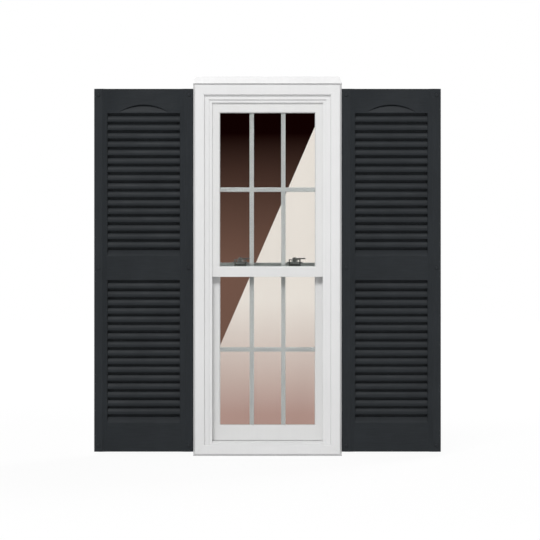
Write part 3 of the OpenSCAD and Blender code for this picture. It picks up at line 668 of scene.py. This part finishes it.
class SHUTTERS_OT_sashes(bpy.types.Operator):
    """Finish both sashes with their beads, grids, seals and interlocks"""

    bl_idname = "shutters.sashes"
    bl_label = "Sashes"

    def execute(self, context):
        edge = context.scene.window_settings.edge
        # A little under the full radius, so that the narrow flat on the sash's lip keeps some width
        frame_edge = edge * 0.9
        bead_edge = edge * 0.6
        grid_edge = edge * 0.5
        for sash in SASHES:
            body = sash + "_sash"
            vinyl = material_named("sash_vinyl")
            round_off(sash + "_sash_frame", body, "sash_vinyl", vinyl, frame_edge)
            round_off(sash + "_glazing_beads", body, "sash_vinyl", vinyl, bead_edge)
            round_off(sash + "_grid", body, "grid_white", material_named("grid_white"), grid_edge)
            paint_node(sash + "_interlock", vinyl)
            paint_node(sash + "_pile_seals", material_named("seal_pile"))
        paint_node("lower_bottom_seal", material_named("seal_pile"))
        return {"FINISHED"}


class SHUTTERS_OT_glass(bpy.types.Operator):
    """Give the panes and their spacers glass and metal"""

    bl_idname = "shutters.glass"
    bl_label = "Glass"

    def execute(self, context):
        for sash in SASHES:
            for layer in ("_outer_pane", "_inner_pane"):
                paint_node(sash + layer, material_named("window_glass"))
            paint_node(sash + "_spacer", material_named("spacer_metal"))
        return {"FINISHED"}


class SHUTTERS_OT_balances(bpy.types.Operator):
    """Twist the spiral rods and finish the tubes that hold them"""

    bl_idname = "shutters.balances"
    bl_label = "Balances"

    def execute(self, context):
        steel = material_named("balance_steel")
        strip_t = 1.2 * MM
        strip_share = 0.98
        turn_l = 25 * MM
        for sash in SASHES:
            node = sash + "_balance_rods"
            boxes = solid_groups(node)
            low, high = boxes[0]
            places = [((a.x + b.x) / 2, (a.y + b.y) / 2, a.z) for a, b in boxes]
            length = high.z - low.z
            values = {
                "Length": length, "Width": (high.x - low.x) * strip_share, "Thickness": strip_t,
                "Turns": length / turn_l, "Finish": steel}
            piece = grown(node + "_spiral", spiral_tree(), places, values)
            seat_piece(piece, sash + "_sash", "balance_steel", node)
            paint_node(sash + "_balance_tubes", steel)
            paint_node(sash + "_rod_brackets", steel)
        paint_node("balance_screws", steel)
        paint_node("balance_bushes", material_named("bush_plastic"))
        return {"FINISHED"}


class SHUTTERS_OT_locks(bpy.types.Operator):
    """Finish the sash locks, their keepers and their screws"""

    bl_idname = "shutters.locks"
    bl_label = "Locks"

    def execute(self, context):
        metal = material_named("lock_metal")
        for side in LOCK_SIDES:
            round_off(side + "_lock_base", "lower_sash", "lock_metal", metal, LOCK_EDGE, 2, SHORT_EDGE)
            round_off(side + "_lock_lever", side + "_lock", "lock_metal", metal, LEVER_EDGE, 3, SHORT_EDGE)
            round_off(side + "_keeper", "upper_sash", "lock_metal", metal, LOCK_EDGE)
        self.screws(metal)
        return {"FINISHED"}

    @staticmethod
    def screws(metal):
        """Pan-headed screws with a drive socket."""
        boxes = solid_groups("lock_screws")
        low, high = boxes[0]
        head_r = (high.x - low.x) / 2
        length = high.z - low.z
        socket_r = 0.9 * MM
        socket_depth = 0.5 * MM
        socket_lip_r = 1.3 * MM
        socket_lip = 0.1 * MM
        crown_r = head_r * 0.8
        crown_fall = 0.05 * MM
        edge_fall = 0.35 * MM
        head_h = 0.6 * MM
        shank_r = 1.55 * MM
        tip = 2 * MM
        sides = 20
        profile = [
            (0, socket_depth), (socket_r, socket_depth), (socket_lip_r, socket_lip), (crown_r, crown_fall),
            (head_r, edge_fall), (head_r, head_h), (shank_r, head_h), (shank_r, length - tip), (0, length)]
        mesh = lathe("lock_screw", profile, sides)
        for vert in mesh.vertices:
            vert.co = (vert.co.x, vert.co.z, -vert.co.y)
        places = [((a.x + b.x) / 2, (a.y + b.y) / 2, b.z) for a, b in boxes]
        piece = copies_of("lock_screws_turned", mesh, places, metal)
        seat_piece(piece, "lower_sash", "lock_metal", "lock_screws")


def aimed(thing, target):
    """Turns a lamp or the camera towards a point."""
    away = Vector(target) - thing.location
    thing.rotation_euler = away.to_track_quat("-Z", "Y").to_euler()


def soft_lamp(name, place, target, power):
    """A wide square lamp."""
    lamp = bpy.data.lights.new(name, "AREA")
    lamp.shape = "SQUARE"
    lamp.size = LAMP_SIZE
    lamp.energy = power
    holder = bpy.data.objects.new(name, lamp)
    holder.location = place
    bpy.context.scene.collection.objects.link(holder)
    aimed(holder, target)


def direct_ray(tree, *kinds):
    """One where a ray of one of these kinds has not yet been scattered by a matt surface."""
    path = add_node(tree, "ShaderNodeLightPath").outputs
    seen = math_node(tree, "LESS_THAN", path["Diffuse Depth"], 0.5)
    kind = path[kinds[0]]
    for other in kinds[1:]:
        kind = math_node(tree, "MAXIMUM", kind, path[other])
    return math_node(tree, "MULTIPLY", seen, kind)


def shown_ray(tree):
    """One where the camera, a reflection or glass looks straight at a surface."""
    return direct_ray(tree, "Is Camera Ray", "Is Glossy Ray", "Is Transmission Ray")


def stage_card(name, corners, seen_by, low, high):
    """A flat card that only one kind of ray sees, shaded between two heights with their colours."""
    mesh = bpy.data.meshes.new(name)
    mesh.from_pydata(corners, [], [tuple(range(len(corners)))])
    card = link_mesh(mesh, name)
    material = bpy.data.materials.new(name)
    material.use_nodes = True
    tree = material.node_tree
    tree.nodes.clear()
    place = add_node(tree, "ShaderNodeTexCoord").outputs["Object"]
    height = add_node(tree, "ShaderNodeSeparateXYZ", {0: place}).outputs[2]
    part = add_node(
        tree, "ShaderNodeMapRange",
        {"Value": height, "From Min": low[0], "From Max": high[0]}).outputs[0]
    glow = add_node(tree, "ShaderNodeEmission", {"Color": blend_colour(tree, part, low[1], high[1])})
    clear = add_node(tree, "ShaderNodeBsdfTransparent")
    seen = direct_ray(tree, seen_by)
    mixed = add_node(tree, "ShaderNodeMixShader", {0: seen, 1: clear.outputs[0], 2: glow.outputs[0]})
    add_node(tree, "ShaderNodeOutputMaterial", {0: mixed.outputs[0]})
    give_material(card, material)


class SHUTTERS_OT_stage(bpy.types.Operator):
    """Lay the pale floor and set the light and the camera"""

    bl_idname = "shutters.stage"
    bl_label = "Stage"

    def execute(self, context):
        settings = context.scene.stage_settings
        self.floor()
        self.sky(context.scene, settings)
        middle = (0, 0, settings.centre_z)
        soft_lamp("key", KEY_PLACE, middle, settings.key_power)
        soft_lamp("back", BACK_PLACE, middle, settings.back_power)
        self.camera(context.scene, settings)
        self.cards(settings)
        context.scene.view_settings.view_transform = "Standard"
        return {"FINISHED"}

    @staticmethod
    def floor():
        """A wide pale floor that keeps the part's shadow and is plain white farther away."""
        half = 30.0
        level = CAD_BOX[0].z - 1 * MM
        grey = (0.80, 0.80, 0.80, 1)
        glow_strength = 1.02
        near_glow = 0.9
        shadow_reach = 2.5
        white_reach = 9.0
        mesh = bpy.data.meshes.new("floor")
        mesh.from_pydata(
            [(-half, -half, level), (half, -half, level), (half, half, level), (-half, half, level)],
            [], [(0, 1, 2, 3)])
        floor = link_mesh(mesh, "floor")
        material = bpy.data.materials.new("pale_floor")
        material.use_nodes = True
        tree = material.node_tree
        tree.nodes.clear()
        matt = add_node(tree, "ShaderNodeBsdfDiffuse", {"Color": grey})
        glow = add_node(tree, "ShaderNodeEmission", {"Color": WHITE, "Strength": glow_strength})
        place = add_node(tree, "ShaderNodeTexCoord").outputs["Object"]
        away = add_node(tree, "ShaderNodeVectorMath", {0: place}, operation="LENGTH").outputs["Value"]
        part = add_node(
            tree, "ShaderNodeMapRange",
            {"Value": away, "From Min": shadow_reach, "From Max": white_reach,
             "To Min": near_glow, "To Max": 1.0}).outputs[0]
        share = math_node(tree, "MULTIPLY", shown_ray(tree), part)
        mixed = add_node(tree, "ShaderNodeMixShader", {0: share, 1: matt.outputs[0], 2: glow.outputs[0]})
        add_node(tree, "ShaderNodeOutputMaterial", {0: mixed.outputs[0]})
        give_material(floor, material)

    @staticmethod
    def sky(scene, settings):
        """Even light all round, seen as white."""
        world = bpy.data.worlds.new("white_sky")
        world.use_nodes = True
        tree = world.node_tree
        tree.nodes.clear()
        lit = add_node(tree, "ShaderNodeBackground", {"Color": WHITE, "Strength": settings.sky})
        seen = add_node(tree, "ShaderNodeBackground", {"Color": WHITE, "Strength": 1.0})
        mixed = add_node(
            tree, "ShaderNodeMixShader", {0: shown_ray(tree), 1: lit.outputs[0], 2: seen.outputs[0]})
        add_node(tree, "ShaderNodeOutputWorld", {0: mixed.outputs[0]})
        scene.world = world

    @staticmethod
    def cards(settings):
        """A pale and a dark card that show through the glass as glowing colour, painting a room and the
        slanted edge of a reflection in the panes, and a dark flag that the glass mirrors, a painted dark
        reflection.
        """
        through = "Is Transmission Ray"
        half_w = 0.9
        low = -0.4
        high = 2.0
        back = CAD_BOX[1].y + 0.08
        warm = (0.52, 0.33, 0.29)
        warm_z = 0.15
        pale_z = 0.6
        pale = [(-half_w, back, low), (half_w, back, low), (half_w, back, high), (-half_w, back, high)]
        stage_card("pale_card", pale, through, (warm_z, warm), (pale_z, settings.pale_card))
        front = back - 5 * MM
        # The slanted edge of the dark card paints the edge of a reflection across the panes
        slant_low = -0.54
        slant_high = 0.498
        dusk = (0.20, 0.105, 0.078)
        dusk_z = 0.7
        dark_z = 1.25
        dark = [
            (-half_w, front, low), (slant_low, front, low), (slant_high, front, high), (-half_w, front, high)]
        stage_card("dark_card", dark, through, (dusk_z, dusk), (dark_z, settings.dark_card))
        # The flag is a dark sheet that only reflections see: a painted dark reflection on the glass
        ahead = -1.8
        flag_w = 0.28
        flag_h = 1.5
        flag = [(-flag_w, ahead, 0), (flag_w, ahead, 0), (flag_w, ahead, flag_h), (-flag_w, ahead, flag_h)]
        stage_card("flag", flag, "Is Glossy Ray", (0, settings.dark_card), (1, settings.dark_card))

    @staticmethod
    def camera(scene, settings):
        """A long lens straight in front."""
        data = bpy.data.cameras.new("camera")
        data.sensor_width = 36
        data.lens = settings.lens
        distance = settings.photo_width * settings.lens / data.sensor_width
        data.clip_end = distance * 4
        holder = bpy.data.objects.new("camera", data)
        holder.location = (settings.centre_x, CAD_BOX[0].y - distance, settings.centre_z)
        scene.collection.objects.link(holder)
        aimed(holder, (settings.centre_x, 0, settings.centre_z))
        scene.camera = holder


class SHUTTERS_PT_panel(bpy.types.Panel):
    """Lists the steps and the settings"""

    bl_label = "Louvred shutters"
    bl_idname = "SHUTTERS_PT_panel"
    bl_space_type = "VIEW_3D"
    bl_region_type = "UI"
    bl_category = "Shutters"

    def draw(self, context):
        for operator in STEPS:
            self.layout.operator(operator.bl_idname)
        for name in GROUPS:
            box = self.layout.box()
            group = getattr(context.scene, name)
            for key in group.__annotations__:
                box.prop(group, key)


STEPS = (
    SHUTTERS_OT_finishes, SHUTTERS_OT_shutters, SHUTTERS_OT_fasteners, SHUTTERS_OT_casing,
    SHUTTERS_OT_sashes, SHUTTERS_OT_glass, SHUTTERS_OT_balances, SHUTTERS_OT_locks, SHUTTERS_OT_stage)
GROUPS = {
    "shutter_settings": ShutterSettings, "window_settings": WindowSettings, "stage_settings": StageSettings}
CLASSES = (*GROUPS.values(), *STEPS, SHUTTERS_PT_panel)


def register():
    for item in CLASSES:
        bpy.utils.register_class(item)
    for name, group in GROUPS.items():
        setattr(bpy.types.Scene, name, PointerProperty(type=group))


def unregister():
    for name in GROUPS:
        delattr(bpy.types.Scene, name)
    for item in reversed(CLASSES):
        bpy.utils.unregister_class(item)


def main():
    register()
    for operator in STEPS:
        group, name = operator.bl_idname.split(".")
        getattr(getattr(bpy.ops, group), name)()
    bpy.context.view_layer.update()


if __name__ == "__main__":
    main()
